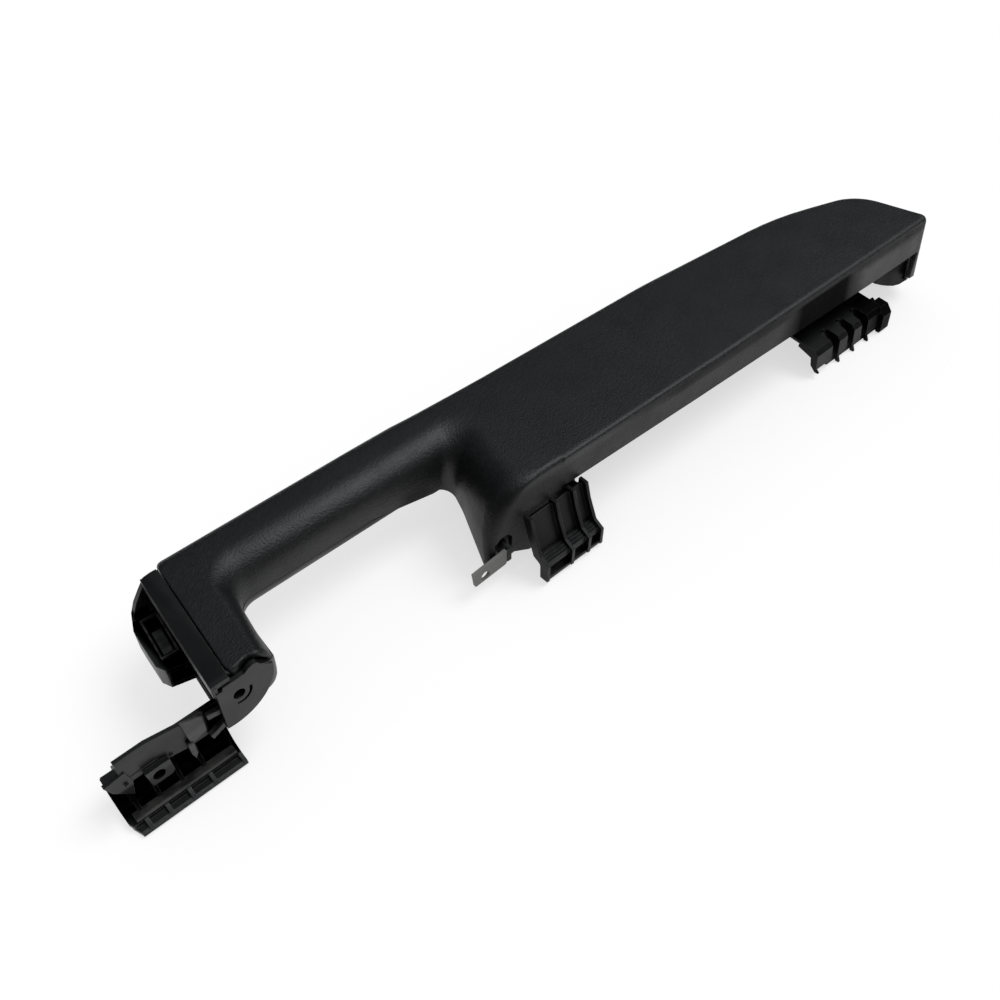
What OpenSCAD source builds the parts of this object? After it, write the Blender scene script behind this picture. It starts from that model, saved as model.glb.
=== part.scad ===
// Door armrest with a pull handle: a grained cover shell on a ribbed carrier.
// The flat arm pad runs along +X, +Y is the side that faces the seat, +Z is up.
// The origin is the centre of the screw hole in the handle's end cheek.

/* [Arm pad] */
// X of the tip of the arm pad (mm)
tip_x = 466; // [455:1:476]
// Y of the side that faces the seat, measured from the crease (mm)
pad_width = 70; // [68:0.2:73]
// Thickness of the cover (mm)
wall = 2.5; // [2.2:0.1:2.8]
// Rounding of the crease above the front wall (mm)
crease_roll = 3; // [2:0.25:3.5]
// Rounding of the edge that faces the seat (mm)
seat_roll = 6; // [4.5:0.25:7]
// Height of the front wall (mm)
front_height = 18.4; // [17.4:0.25:20.4]
// Y by which the front wall bows towards the door (mm)
front_bow = 2.2; // [1:0.1:3]
// Depth of the skirt round the tip, and of every foot the part lies on (mm)
foot_depth = 52; // [50:0.5:56]
// Depth of the near end of the tip wall, before its rounded corner (mm)
tip_flange_depth = 38; // [34:0.5:42]
// Radius of the tip wall's corner towards the seat, in plan (mm)
tip_corner = 26; // [20:1:30]

/* [Handle] */
// X of the hand gap's left side (mm)
gap_left = 16.2; // [15.4:0.2:17.6]
// X of the hand gap's right side, under the grip (mm)
gap_right = 134.5; // [130:0.5:138]
// Y of the grip's near side (mm)
grip_near = 40.8; // [39.4:0.2:41.6]
// Depth of the grip (mm)
grip_depth = 26.5; // [25.5:0.25:28]
// Depth of the seam between cover and carrier (mm)
seam_depth = 18; // [16.5:0.25:19]
// Clearance along the seam (mm)
seam_gap = 0.3; // [0.2:0.05:0.5]
// Width of the round on top of the grip (mm)
grip_roll = 15; // [12:0.5:17]
// Rounding under the grip (mm)
grip_under = 8.5; // [7:0.5:9]
// X of the pillar's foot at the front (mm)
pillar_x = 120.4; // [118:0.2:123]
// Depth of the pillar (mm)
pillar_depth = 42; // [38:0.5:45]
// Width of the round on the pillar (mm)
pillar_roll = 23; // [18:0.5:25]
// Lean of the handle's left end, in X over the width of the pad (mm)
end_lean = 7; // [5:0.5:9]

/* [Left end] */
// Width of the smooth band beside the cover (mm)
band_width = 6.5; // [5:0.25:8]
// Diameter of the screw holes (mm)
hole_diameter = 5; // [4:0.1:5.6]
// Depth of the cheek's screw hole below the pad (mm)
cheek_hole_depth = 12; // [11:0.5:13]
// Thickness of the carrier's walls (mm)
shell_wall = 2.2; // [1.8:0.1:2.6]
// Depth of the snap socket's plate below the pad (mm)
socket_depth = 15; // [13:0.5:17]
// Length of the slot in the snap socket (mm)
slot_length = 20; // [16:0.5:21]
// Width of the slot in the snap socket (mm)
slot_width = 5.4; // [4.5:0.1:6]
// Clearance round the snap tongue (mm)
tongue_gap = 0.6; // [0.4:0.05:0.8]

/* [Left arm] */
// X of the arm's left end (mm)
arm_left = -50; // [-54:0.5:-47]
// X of the arm's right end (mm)
arm_right = -8; // [-9.5:0.25:-7]
// Thickness of the arm's plates and ribs (mm)
arm_wall = 1.8; // [1.5:0.1:2.2]
// X of the screw tab's hole (mm)
arm_hole_x = -38; // [-39:0.25:-36]

/* [Middle bracket] */
// X of the first rib (mm)
mid_left = 140.8; // [139:0.2:142.5]
// X of the last rib (mm)
mid_right = 177; // [175.4:0.2:179]
// Thickness of the bracket ribs (mm)
rib = 1.6; // [1.2:0.1:2]
// X of the tab's screw hole (mm)
tab_hole_x = 117.4; // [116.4:0.2:118.4]

/* [Right bracket] */
// X of the bracket's left edge (mm)
right_left = 354.5; // [350:0.5:358]
// X of the bracket's right edge (mm)
right_right = 418; // [414:0.5:422]

/* [Inside] */
// Thickness of the carrier's base under the pad (mm)
base_wall = 2.5; // [2:0.1:3]
// Pitch of the cross ribs on the base (mm)
rib_pitch = 36; // [30:1:44]
// Outer diameter of the screw bosses (mm)
boss_diameter = 8; // [7:0.25:9]
// Diameter of the screws (mm)
screw_diameter = 3; // [2.5:0.1:3.4]
// Diameter of the screw heads (mm)
head_diameter = 6; // [5.5:0.1:7]

/* [Hidden] */

cover_color = [0.07, 0.07, 0.075];
carrier_color = [0.05, 0.05, 0.055];
screw_color = [0.6, 0.61, 0.6];
cheek_hole_x = -2;
cheek_y = 0;
tiny = 0.05;

// Plan directions and turns.
function unit(v) = v / norm(v);
function left_of(v) = [-v[1], v[0]];
function turn(a, b) = atan2(a[0] * b[1] - a[1] * b[0], a[0] * b[0] + a[1] * b[1]);
function swing(v, q) = [v[0] * cos(q) - v[1] * sin(q), v[0] * sin(q) + v[1] * cos(q)];
function wrap(i, n) = (i + n) % n;

// Inset of a rounded edge of width r[0] and height r[1], z below its top.
function clip(u) = max(0, min(1, u));
function inset(r, z) = r[0] * (1 - sqrt(1 - pow(clip(1 + z / r[1]), 2)));

// A shell's corner: place, plan radius at the rim and at the cap, arc steps, the rim's
// depth at the arc's two ends, the edges before and after, and the stops along the edge
// that leaves it, each a distance from the corner and a rim depth. An edge is given by
// its round's width and height, its round at the floor and its flare per mm of depth.
function corner(p, r, steps, rim, before, after, stops = []) =
    [p, r, steps, rim, before, after, stops];
function shrunk(r, by) =
    [max(r[0] - by, tiny), max(r[1] - by, tiny), max(r[2] - by, tiny), r[3]];
function depth_inset(r, z, floor_z) =
    inset([r[2], r[2]], floor_z - z) + inset([r[0], r[1]], z) + r[3] * z;

// The corner's place after both edges have moved inwards by their own inset.
function moved(c, i, before, after) =
    let(n = len(c), p = c[i][0],
        d = unit(p - c[wrap(i - 1, n)][0]), e = unit(c[wrap(i + 1, n)][0] - p),
        s = sin(turn(d, e)))
    abs(s) < 0.25
        ? p + unit(left_of(d) + left_of(e)) * (before + after) / 2
        : p + (e * before - d * after) / s;

// Tangent length of a rounded corner, kept inside its two edges.
function tangent(p, a, b, r) =
    min(r * tan(abs(turn(p - a, b - p)) / 2), 0.48 * norm(p - a), 0.48 * norm(b - p));
function arc(p, a, b, r, steps) =
    let(d = unit(p - a), q = turn(p - a, b - p), s = q < 0 ? -1 : 1,
        l = tangent(p, a, b, r), rr = l / tan(abs(q) / 2),
        m = p - l * d + s * rr * left_of(d))
    [for (j = [0 : steps]) m - s * rr * swing(left_of(d), q * j / steps)];

// One closed ring of a shell at the share u of the way from the cap down to the rim.
function rim_z(depth, u, cap) = cap - (depth + cap) * u;
function ring(c, u, cap, skin, floor_z) =
    let(n = len(c),
        t = [for (i = [0 : n - 1])
            let(z = rim_z((c[i][3][0] + c[i][3][1]) / 2, u, cap))
            [for (r = [c[i][4], c[i][5]])
                skin + depth_inset(shrunk(r, skin), z + (floor_z < -500 ? skin : 0),
                                   floor_z < -500 ? floor_z : floor_z + skin)]],
        p = [for (i = [0 : n - 1]) moved(c, i, t[i][0], t[i][1])],
        arcs = [for (i = [0 : n - 1])
            let(a = p[wrap(i - 1, n)], b = p[wrap(i + 1, n)],
                convex = turn(p[i] - a, b - p[i]) > 0,
                low = min(t[i][0], t[i][1]), r = c[i][1][0] + (c[i][1][1] - c[i][1][0]) * (1 - u),
                rr = convex ? max(r - low, 0.35 * r, 0.3) : r + low)
            arc(p[i], a, b, rr, c[i][2])])
    [for (i = [0 : n - 1])
        let(k = wrap(i + 1, n), a = arcs[i][c[i][2]], b = arcs[k][0],
            base = norm(c[k][0] - c[i][0]),
            la = tangent(c[i][0], c[wrap(i - 1, n)][0], c[k][0], c[i][1][0]),
            lb = tangent(c[k][0], c[i][0], c[wrap(k + 1, n)][0], c[k][1][0]))
        each concat(
            [for (j = [0 : c[i][2]])
                [arcs[i][j][0], arcs[i][j][1],
                 rim_z(c[i][3][0] + (c[i][3][1] - c[i][3][0]) * j / c[i][2], u, cap)]],
            [for (s = c[i][6])
                let(v = (s[0] - la) / (base - la - lb), q = a + (b - a) * v)
                [q[0], q[1], rim_z(s[1], u, cap)]])];

// Number in the ring of a corner's point: its arc steps first, then its stops.
function corner_start(c, i) =
    i == 0 ? 0 : corner_start(c, i - 1) + c[i - 1][2] + 1 + len(c[i - 1][6]);
function ring_number(c, p) = corner_start(c, p[0]) + p[1];

// A cap made of fans. Each fan is its apex and the first and last point that it sweeps.
function cap_fans(c, fans, n) =
    [for (f = fans)
        let(apex = ring_number(c, f[0]), first = ring_number(c, f[1]),
            sweep = wrap(ring_number(c, f[2]) - first, n))
        for (j = [0 : sweep - 1])
            [apex, wrap(first + j, n), wrap(first + j + 1, n)]];

// Closed shell: outer and inner skins from rim to cap, joined along the rim.
module shell(c, shares, cap, thick, fans, upside_down = false) {
    floor_z = upside_down ? cap : -1000;
    rings = len(shares);
    outer = [for (u = shares) ring(c, u, cap, 0, floor_z)];
    inner_cap = cap + (upside_down ? thick : -thick);
    inner = [for (u = shares) ring(c, u, inner_cap, thick, floor_z)];
    n = len(outer[0]);
    function at(skin, k, j) = (skin * rings + k) * n + j % n;
    strips = [for (skin = [0, 1], k = [0 : rings - 2], j = [0 : n - 1])
        let(a = at(skin, k, j), b = at(skin, k + 1, j),
            c1 = at(skin, k + 1, j + 1), d = at(skin, k, j + 1))
        each skin == 0 ? [[a, b, c1], [a, c1, d]] : [[a, c1, b], [a, d, c1]]];
    rim = [for (j = [0 : n - 1])
        let(a = at(0, 0, j), b = at(0, 0, j + 1), c1 = at(1, 0, j + 1), d = at(1, 0, j))
        each [[a, b, c1], [a, c1, d]]];
    caps = [for (t = cap_fans(c, fans, n))
        each [[for (j = [2 : -1 : 0]) at(0, rings - 1, t[j])],
              [for (j = [0 : 2]) at(1, rings - 1, t[j])]]];
    faces = concat(strips, rim, caps);
    polyhedron(
        points = [for (s = [outer, inner], r = s, p = r) p],
        faces = upside_down ? [for (f = faces) [for (j = [len(f) - 1 : -1 : 0]) f[j]]] : faces,
        convexity = 10);
}

// The cover's outline, anticlockwise from the near end of the handle's block.
near_border = [0.4, 0.4, tiny, 0];
low_border = [2.3, 2.6, tiny, 0];
left_border = [0.8, 0.8, tiny, 0];
block_side = [7.5, 10, tiny, 0];
grip_top = [grip_roll, grip_roll + 1, tiny, 0];
pillar_top = [pillar_roll - 5, pillar_roll, tiny, 0];
pillar_foot = [pillar_roll, pillar_roll + 5, tiny, 0];
crease = [crease_roll, crease_roll, tiny, 0];
tip_flare = 0.09;
tip_front = [crease_roll, crease_roll, tiny, tip_flare];
tip_end = [crease_roll + 0.5, crease_roll + 1, tiny, tip_flare];
seat_edge = [seat_roll, seat_roll, tiny, 0];
block_rim = 9;
gap_inner_x = gap_left + 5;
cover_left = -3.2;
lean_at_seat = end_lean + cover_left;
pillar_mid = [gap_right - 3.6, 28];
brow_x = pillar_x + 41;
end_rim = grip_depth - 1;
cover_corners = [
    corner([cover_left, 0.3], [2.7, 2.7], 3, [3, 3], left_border, low_border),
    corner([5.8, 4.6], [8, 8], 3, [3, 3], near_border, near_border),
    corner([gap_left - 0.7, 0.1], [3.5, 3.5], 8, [3.2, block_rim], near_border, block_side,
           [[18, 12.6]]),
    corner([gap_inner_x, grip_near - 0.3], [10, 10], 10,
           [seam_depth - 2, seam_depth], block_side, grip_top,
           [[50, seam_depth], [gap_right - 44 - gap_inner_x, seam_depth],
            [gap_right - 10 - gap_inner_x, end_rim]]),
    corner([gap_right, grip_near + 0.4], [9, 9], 9,
           [end_rim, end_rim + 5], grip_top, pillar_top),
    corner(pillar_mid, [40, 40], 3, [32, 33.5], pillar_top, pillar_top, [[14, 38]]),
    corner([pillar_x, 0], [3, 9], 7, [pillar_depth, pillar_depth], pillar_foot, crease,
           [[16, pillar_depth - 2], [25.4, pillar_depth + 3.4]]),
    corner([brow_x, -0.35 * front_bow], [300, 300], 3, [pillar_depth + 3.6, pillar_depth + 3.6],
           crease, crease, [[2.5, pillar_depth + 3.6], [3.3, front_height - 0.7]]),
    corner([263, -front_bow], [1500, 1500], 3, [front_height, front_height],
           crease, crease,
           [[tip_x - 263 - 56, front_height + 1.3], [tip_x - 263 - 8.6, front_height + 0.6],
            [tip_x - 263 - 8, tip_flange_depth]]),
    corner([tip_x, -0.5], [4, 4], 6, [tip_flange_depth, 42], tip_front, tip_end,
           [[6.5, 46], [10, 49.3], [14.5, 51.2], [20, foot_depth]]),
    corner([tip_x - 11.5, 45.2], [tip_corner, tip_corner], 12, [foot_depth, foot_depth],
           tip_end, seat_edge),
    corner([tip_x - 67, pad_width - 8.2], [200, 200], 4, [foot_depth, foot_depth],
           seat_edge, seat_edge),
    corner([290, pad_width - 2.2], [400, 400], 3, [foot_depth, foot_depth],
           seat_edge, seat_edge, [[110, foot_depth], [150, 30], [166, seam_depth]]),
    corner([100, pad_width], [400, 400], 3, [seam_depth, seam_depth], seat_edge, seat_edge),
    corner([lean_at_seat, pad_width - 1], [3, 3], 4, [seam_depth, seam_depth],
           seat_edge, left_border, [[4.2, seam_depth], [5, 4]]),
];
cover_shares = [1, 0.74, 0.53, 0.38, 0.27, 0.19, 0.13, 0.085, 0.05, 0.025, 0.008, 0];
cover_fans = [
    [[14, 0], [14, 1], [3, 10]],
    [[13, 0], [3, 10], [4, 0]],
    [[3, 10], [13, 0], [14, 0]],
    [[4, 0], [12, 4], [13, 0]],
    [[12, 4], [4, 0], [12, 3]],
];

// The carrier's tub closes the handle from below and forms the end cheek.
cheek_edge = [5, 5, grip_under, 0];
cheek_skin = 0.4;
tub_side = [7.5, 10, grip_under, 0];
tub_grip = [tiny, tiny, grip_under, 0];
tub_seat = [seat_roll, seat_roll, grip_under, 0];
tub_end = [tiny, tiny, 1, 0];
tub_right = gap_right - 10.8;
tub_left = cover_left - 0.7 - band_width;
tub_rim = seam_depth + seam_gap;
tub_corners = [
    corner([tub_left, cheek_y], [3, 3], 4, [17, 3.3], tub_end, cheek_edge,
           [[12.2, 3.3], [14.6, 1.6], [16.6, 1.1], [18, 1.3]]),
    corner([gap_left, 0], [8, 8], 9, [3.6, block_rim + 2.6], cheek_edge, tub_side,
           [[20, 14.6]]),
    corner([gap_inner_x, grip_near - 0.3], [10, 10], 8, [tub_rim - 2, tub_rim],
           tub_side, tub_grip),
    corner([tub_right, grip_near + 0.3], [3, 3], 3, [tub_rim, tub_rim], tub_grip, tub_end),
    corner([tub_right, pad_width - 0.1], [3, 3], 3, [tub_rim, tub_rim], tub_end, tub_seat),
    corner([tub_left + end_lean, pad_width - 1.2], [4, 4], 4, [tub_rim, tub_rim],
           tub_seat, tub_end),
];
tub_shares = [1, 0.975, 0.94, 0.89, 0.82, 0.73, 0.62, 0.5, 0.38, 0.27, 0.18, 0.1, 0.04, 0];
tub_fans = [
    [[5, 0], [5, 1], [2, 8]],
    [[4, 0], [2, 8], [4, 0]],
    [[2, 8], [4, 0], [5, 0]],
];

// Plates drawn in the YZ plane and run along X, and drawn in the XZ plane and run along Y.
module along_x(x, length) {
    translate([x, 0, 0])
        rotate([90, 0, 90])
            linear_extrude(length)
                children();
}
module along_y(y, length) {
    translate([0, y + length, 0])
        rotate([90, 0, 0])
            linear_extrude(length)
                children();
}
module hole_y(p, y, length, d) {
    translate([p[0], y, p[1]])
        rotate([-90, 0, 0])
            cylinder(h = length, d = d, $fn = 40);
}

// Ribbon of even thickness to the left of a path.
function side_normal(path, i) =
    let(n = len(path), a = path[max(i - 1, 0)], b = path[i], c = path[min(i + 1, n - 1)],
        d = unit(i == 0 ? c - b : b - a), e = unit(i == n - 1 ? b - a : c - b),
        m = unit(left_of(d) + left_of(e)))
    m / (m * left_of(d));
module ribbon(path, t) {
    n = len(path);
    polygon(concat(path, [for (i = [n - 1 : -1 : 0]) path[i] + side_normal(path, i) * t]));
}

// Screws join the base to bosses that hang from the cover.
screw_play = 0.1;
base_top = -grip_depth + base_wall;
boss_near = 15.5;
boss_places = [[150, pad_width - 18], [150, boss_near], [216, pad_width - 16],
               [216, boss_near], [282, pad_width - 17], [282, boss_near],
               [350, pad_width - 20], [350, boss_near], [404, pad_width - 26],
               [404, boss_near]];

module cover() {
    color(cover_color)
    difference() {
        union() {
            shell(cover_corners, cover_shares, 0, wall, cover_fans);
            for (p = boss_places)
                translate([p[0], p[1], base_top])
                    cylinder(h = -base_top - wall / 2, d = boss_diameter, $fn = 32);
        }
        for (p = boss_places)
            translate([p[0], p[1], base_top - 1])
                cylinder(h = 13, d = screw_diameter + screw_play, $fn = 24);
        pillar_mouth();
    }
}

// Mouth in the pillar's foot, through which the screw tab comes out.
module pillar_mouth() {
    along_y(-2, 6)
        polygon([[pillar_x + 5, -60], [pillar_x + 5, -28.5], [pillar_x + 8, -25.5],
                 [pillar_x + 12, -25.5], [pillar_x + 14.6, -28.5], [pillar_x + 14.6, -60]]);
}

module tub() {
    difference() {
        shell(tub_corners, tub_shares, -grip_depth, shell_wall, tub_fans, upside_down = true);
        along_y(grip_near - 2, 6)
            polygon([[gap_right - 44.6, -tub_rim], [gap_right - 10.2, -end_rim - seam_gap],
                     [gap_right, -end_rim - seam_gap], [gap_right, -10],
                     [gap_right - 44.6, -10]]);
    }
}

// Smooth band between the cover's border and the handle's left end, on its end wall.
band_top = -0.4;
band_far = pad_width - 7;
band_left = tub_left - 0.8;
module band() {
    far_left = band_left + end_lean * band_far / pad_width;
    translate([0, 0, band_top - shell_wall])
        linear_extrude(shell_wall)
            polygon([[band_left, 0.6], [cover_left - seam_gap, 0.6],
                     [cover_left - seam_gap + end_lean * band_far / pad_width, band_far],
                     [far_left, band_far]]);
    translate([0, 0, band_top - 6])
        linear_extrude(6 - shell_wall / 2)
            ribbon([[far_left, band_far], [band_left, 0.6]], shell_wall);
    translate([0, 0, -seam_depth - 3])
        linear_extrude(seam_depth + 2)
            ribbon([[far_left + 1.5, band_far], [band_left + 4.3, 28]], shell_wall);
}

// The end cheek faces the door: a plate with a big round corner and a screw boss.
cheek_hole = [cheek_hole_x, -cheek_hole_depth];
cheek_reach = 20.2;
cheek_centre = [gap_left - 2.6 - cheek_reach, -7.3];
module cheek_plate() {
    along_y(cheek_y, shell_wall + cheek_skin)
        intersection() {
            translate(cheek_centre)
                circle(r = cheek_reach, $fn = 96);
            polygon([[tub_left + 0.3, -40], [gap_left, -40], [gap_left, -7.6],
                     [gap_left - 2.4, -7.6], [gap_left - 6, -5], [tub_left + 0.3, -5]]);
        }
    hole_y(cheek_hole, 1, 13, hole_diameter + 4);
}
module cheek_slot() {
    reach = hole_diameter / 2 + 3.1;
    along_y(-1, 9)
        intersection() {
            translate(cheek_hole)
                difference() {
                    circle(r = reach, $fn = 64);
                    circle(r = reach - 1.3, $fn = 64);
                }
            polygon([cheek_hole, cheek_hole + [9, 1.5], cheek_hole + [9, -12],
                     cheek_hole + [-4.5, -12]]);
        }
}

// Snap socket: a plate with a slot and a spring tongue, on a boxed pocket.
socket_far = pad_width - 11;
socket_outline = [[-3, 27], [-5.6, 26.6], [-16.4, 29.5], [-18.2, 33.8],
                  [-17.1, socket_far - 11], [-16.4, socket_far - 4.5],
                  [-14.5, socket_far], [-3, socket_far]];
slot_near = 35.9;
tongue_length = slot_length * 0.64;
module socket() {
    rim = -socket_depth;
    translate([0, 0, rim - shell_wall])
        linear_extrude(shell_wall)
            difference() {
                polygon(socket_outline);
                socket_slot();
            }
    translate([0, 0, -grip_depth + 0.5])
        linear_extrude(grip_depth - 0.5 - socket_depth - shell_wall / 2)
            ribbon([for (i = [7 : -1 : 2]) socket_outline[i]], 1.6);
    translate([0, 0, -grip_depth + 0.5])
        linear_extrude(shell_wall)
            polygon(concat([[-3, 27], [-5.6, 26.6], [-16.4, 29.5], [-17.7, 33.8]],
                           [[-16.6, socket_far - 11], [-15.9, socket_far - 4.5],
                            [-14.1, socket_far - 0.4], [-3, socket_far - 0.4]]));
}
module socket_slot() {
    lean = 2.6 * slot_length / 20;
    difference() {
        polygon([[-14, slot_near], [-14 + slot_width, slot_near - 0.3],
                 [-14 + slot_width + lean, slot_near + slot_length - 0.3],
                 [-14 + lean, slot_near + slot_length]]);
        polygon([[-14 + tongue_gap, slot_near - 1],
                 [-14 + slot_width - tongue_gap, slot_near - 1],
                 [-14 + slot_width - tongue_gap + lean * 0.64, slot_near + tongue_length],
                 [-14 + tongue_gap + lean * 0.64, slot_near + tongue_length]]);
    }
}

// Curved outer wall of the handle's left end, on the side that faces the seat.
ear_y = pad_width - 8.5;
module ear() {
    along_y(ear_y, shell_wall)
        polygon([[lean_at_seat - 1.4, band_top], [-0.5, band_top], [-3.4, -0.9], [-6.6, -5],
                 [-10.1, -10], [-12.6, -15.5], [-13.5, -20], [-12.4, -24.5],
                 [-8, -grip_depth + 0.6], [lean_at_seat - 1.4, -grip_depth + 0.6]]);
}

// Left arm: an upper plate with three facets over a curved channel with ribs and a foot.
plate_low = -30;
plate_high = -14.8;
arm_hole = [arm_hole_x, -32.6];
arm_foot = 1.7 - foot_depth;
channel_path = [[6.5, -28.6], [13, -28.6], [16.4, -31.5], [17.8, -36], [17.4, -41],
                [15, arm_foot + 4.7], [11, arm_foot + 1.9], [6, arm_foot + 1.4],
                [2, arm_foot + 1.4], [1.6, arm_foot], [-1, arm_foot], [-1.3, arm_foot + 0.5]];
module channel_section() {
    ribbon([for (i = [len(channel_path) - 1 : -1 : 0]) channel_path[i]], -arm_wall);
    translate([-2.3, -foot_depth])
        square([4.6, 1.75]);
}
module arm_rib(x) {
    along_x(x, rib)
        difference() {
            polygon([[5, -28.2], [13, -28.2], [16.8, -31.5], [18.2, -36], [17.8, -41],
                     [15.4, arm_foot + 4.3], [11, arm_foot + 1.3], [2.2, arm_foot - 0.5],
                     [-2.2, arm_foot - 0.5], [-2, arm_foot + 0.7]]);
            translate([-3.4, arm_foot + 13.1])
                circle(r = 12.4, $fn = 64);
        }
}
module arm() {
    translate([0, 0, plate_low])
        linear_extrude(plate_high - plate_low)
            ribbon([[arm_right + 1, 5], [-24.9, 5], [-37.9, 6.9], [arm_left, 6.7]], -arm_wall);
    translate([0, 0, plate_high - 0.8])
        linear_extrude(1.2)
            polygon([[arm_right + 1, 4.6], [-22, 4.6], [-24.9, 6.6], [arm_right + 1, 6.6]]);
    difference() {
        union() {
            along_x(arm_left - 5.5, arm_right - arm_left + 5.5)
                channel_section();
            for (x = [arm_left, arm_left + 8.5, arm_left + 18, arm_left + 27.3, arm_right - rib])
                arm_rib(x);
        }
        translate([0, 0, -60])
            linear_extrude(35)
                polygon([[arm_left - 9, -5], [arm_left - 2.6, -5], [arm_left - 3.2, -1.4],
                         [arm_left - 5.2, 4.5], [arm_left - 5.2, 22], [arm_left - 9, 22]]);
        translate([arm_left - 9, 0, -36])
            cube([9, 22, 9]);
    }
    along_y(4.2, 4)
        polygon([[arm_hole_x - 4.6, -28], [arm_hole_x + 5.4, -28],
                 [arm_hole_x + 5.8, -35.4], [arm_hole_x + 4.4, -37],
                 [arm_hole_x - 3.4, -37]]);
    along_y(6.2, arm_wall)
        polygon([[arm_left + 2, -22], [arm_left - 6.5, -23.3], [arm_left - 4.6, -29],
                 [arm_left + 2, -37], [arm_left + 3.4, -29]]);
    translate([arm_right - 1, 3, plate_low])
        cube([3.5, 5.6, plate_high - plate_low]);
}

// Base under the pad: a plate with a rim and cross ribs, hidden behind the front wall.
base_low = -grip_depth;
base_near = 8;
base_far = pad_width - 7.5;
base_end_far = pad_width - 20;
base_outline = [[tub_right - 1.1, grip_near + 5], [gap_right + 5, grip_near + 3],
                [pillar_x + 9.5, 14], [pillar_x + 9.5, base_near], [425, base_near],
                [425, base_end_far], [290, base_far], [tub_right - 1.1, base_far]];
module base() {
    translate([0, 0, base_low])
        linear_extrude(base_wall)
            polygon(base_outline);
    translate([0, 0, base_low])
        linear_extrude(13)
            ribbon([[425, base_near], [pillar_x + 13, base_near]], -base_wall);
    translate([0, 0, base_low])
        linear_extrude(13)
            ribbon([[tub_right + 10, base_far], [290, base_far], [425, base_end_far]], -base_wall);
    for (x = [gap_right + 24 : rib_pitch : 424])
        translate([x, base_near + 1, base_low - 6])
            cube([rib, pad_width - 28, 17]);
    translate([gap_right + 20, 32, base_low - 6])
        cube([425 - gap_right - 20, rib, 17]);
}

// Screw tab that comes out of the pillar's foot, and its stem from the base.
tab_hole = [tab_hole_x, -39.9];
tab_near = -2.1;
tab_wall = 1.7;
stem_x = pillar_x + 10.4;
module tab() {
    along_y(tab_near, tab_wall)
        polygon([[tab_hole_x - 6.9, -35], [stem_x + 1.9, -32.7], [stem_x + 2.2, -36],
                 [stem_x - 1.2, -41.8], [tab_hole_x - 5.8, -43.2]]);
    along_x(stem_x, 2.2)
        polygon([[tab_near, -35.6], [tab_near, -33], [3, -31], [5, base_low + 1.3],
                 [base_near + 1, base_low + 1.3], [base_near + 1, -36], [5, -41], [tab_near, -41]]);
    along_y(5, 1.8)
        polygon([[pillar_x + 6.4, -42], [pillar_x + 6.4, base_low + 2.3],
                 [pillar_x + 21, base_low + 2.3],
                 [pillar_x + 21, -42]]);
}

// Middle bracket: four ribs hold a bent back plate with a shelf and a foot.
mid_rib_x = [mid_left, mid_left + 15.6, mid_left + 26.4, mid_right - rib];
mid_foot = 1.7 - foot_depth;
mid_path = [[-3, -20.2], [-5.2, -27.4], [-9.6, -38.8], [-15.6, -41.2], [-15.8, -43.4]];
module mid_bracket() {
    along_x(mid_left, mid_right - mid_left)
        ribbon(mid_path, rib);
    along_x(mid_left, mid_right - mid_left)
        polygon([[-12.6, -40], [-14.2, -41], [-14.4, mid_foot + 1.8], [-17, mid_foot + 1.6],
                 [-17, mid_foot], [-13, mid_foot]]);
    for (x = mid_rib_x)
        along_x(x, rib)
            polygon([[-1.2, -18.6], [-5.7, -18.8], [-8, -27], [-12.6, -37.6], [-17.7, -40.4],
                     [-17.6, mid_foot], [-15.6, mid_foot], [-12.4, -42], [-8.8, -39.6],
                     [-3.6, -27.4], [-1.2, -21]]);
    near = -4;
    left = brow_x + 4;
    translate([left, near, base_low])
        cube([mid_right - left, base_near + 1 - near, base_wall]);
    translate([left, 2.4, base_low])
        cube([mid_right - left, rib, 9]);
}

// Right bracket: a shelf with four hooked fingers, on a web that hangs from the base.
right_foot = 4.6 - foot_depth;
right_path = [[base_near + 2, base_low + 0.5], [base_near + 2, -35.6], [-7.8, -37.6],
              [-9.4, -39.4], [-10.4, right_foot]];
finger_x = [right_left + 14.5, right_left + 29, right_left + 43];
finger_gap = 6.6;
module right_rib(x, heel) {
    along_x(x, rib)
        polygon([[2, -36.9], [-7.6, -37.4], [-9.8, -39.4], [-11.2, right_foot + 0.4],
                 [-13.6, heel], [-11.4, heel], [-8, right_foot + 1.4], [-7, -41.4], [2, -38.6]]);
}
module right_bracket() {
    difference() {
        along_x(right_left, right_right - right_left)
            ribbon(right_path, -rib);
        for (x = finger_x)
            translate([x, 0, -60]) {
                translate([finger_gap / 2, -3.2, 0])
                    cylinder(h = 26, d = finger_gap, $fn = 32);
                translate([0, -16, 0])
                    cube([finger_gap, 12.8, 26]);
            }
    }
    right_rib(right_left, right_foot - 1.6);
    for (x = finger_x)
        right_rib(x + finger_gap, -foot_depth);
    right_rib(right_right - rib, -foot_depth);
    for (x = finger_x)
        along_x(x - rib, rib)
            polygon([[2, -36.8], [-7.8, -38], [-9.9, -41], [-10.4, right_foot + 0.2],
                     [-8, right_foot + 1.4],
                     [-7, -41.4], [2, -38.6]]);
    along_x(finger_x[0] - rib, right_right + 7 - finger_x[0])
        ribbon([[0.4, -38.2], [-4, -41.4], [-8.6, right_foot], [-9.4, -foot_depth + 0.8]], -rib);
    along_x(right_right - rib, 8)
        ribbon([[-3.5, -37.4], [-9, -37.9], [-12, -41.4], [-12.6, -foot_depth + 1]], -rib);
    along_x(right_right + 5.6, rib)
        polygon([[-3.5, -36.6], [-9, -37.2], [-12.6, -41.2], [-13, -foot_depth + 1.2],
                 [-9.4, -foot_depth + 1.2], [-4, -41.4]]);
}

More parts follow.
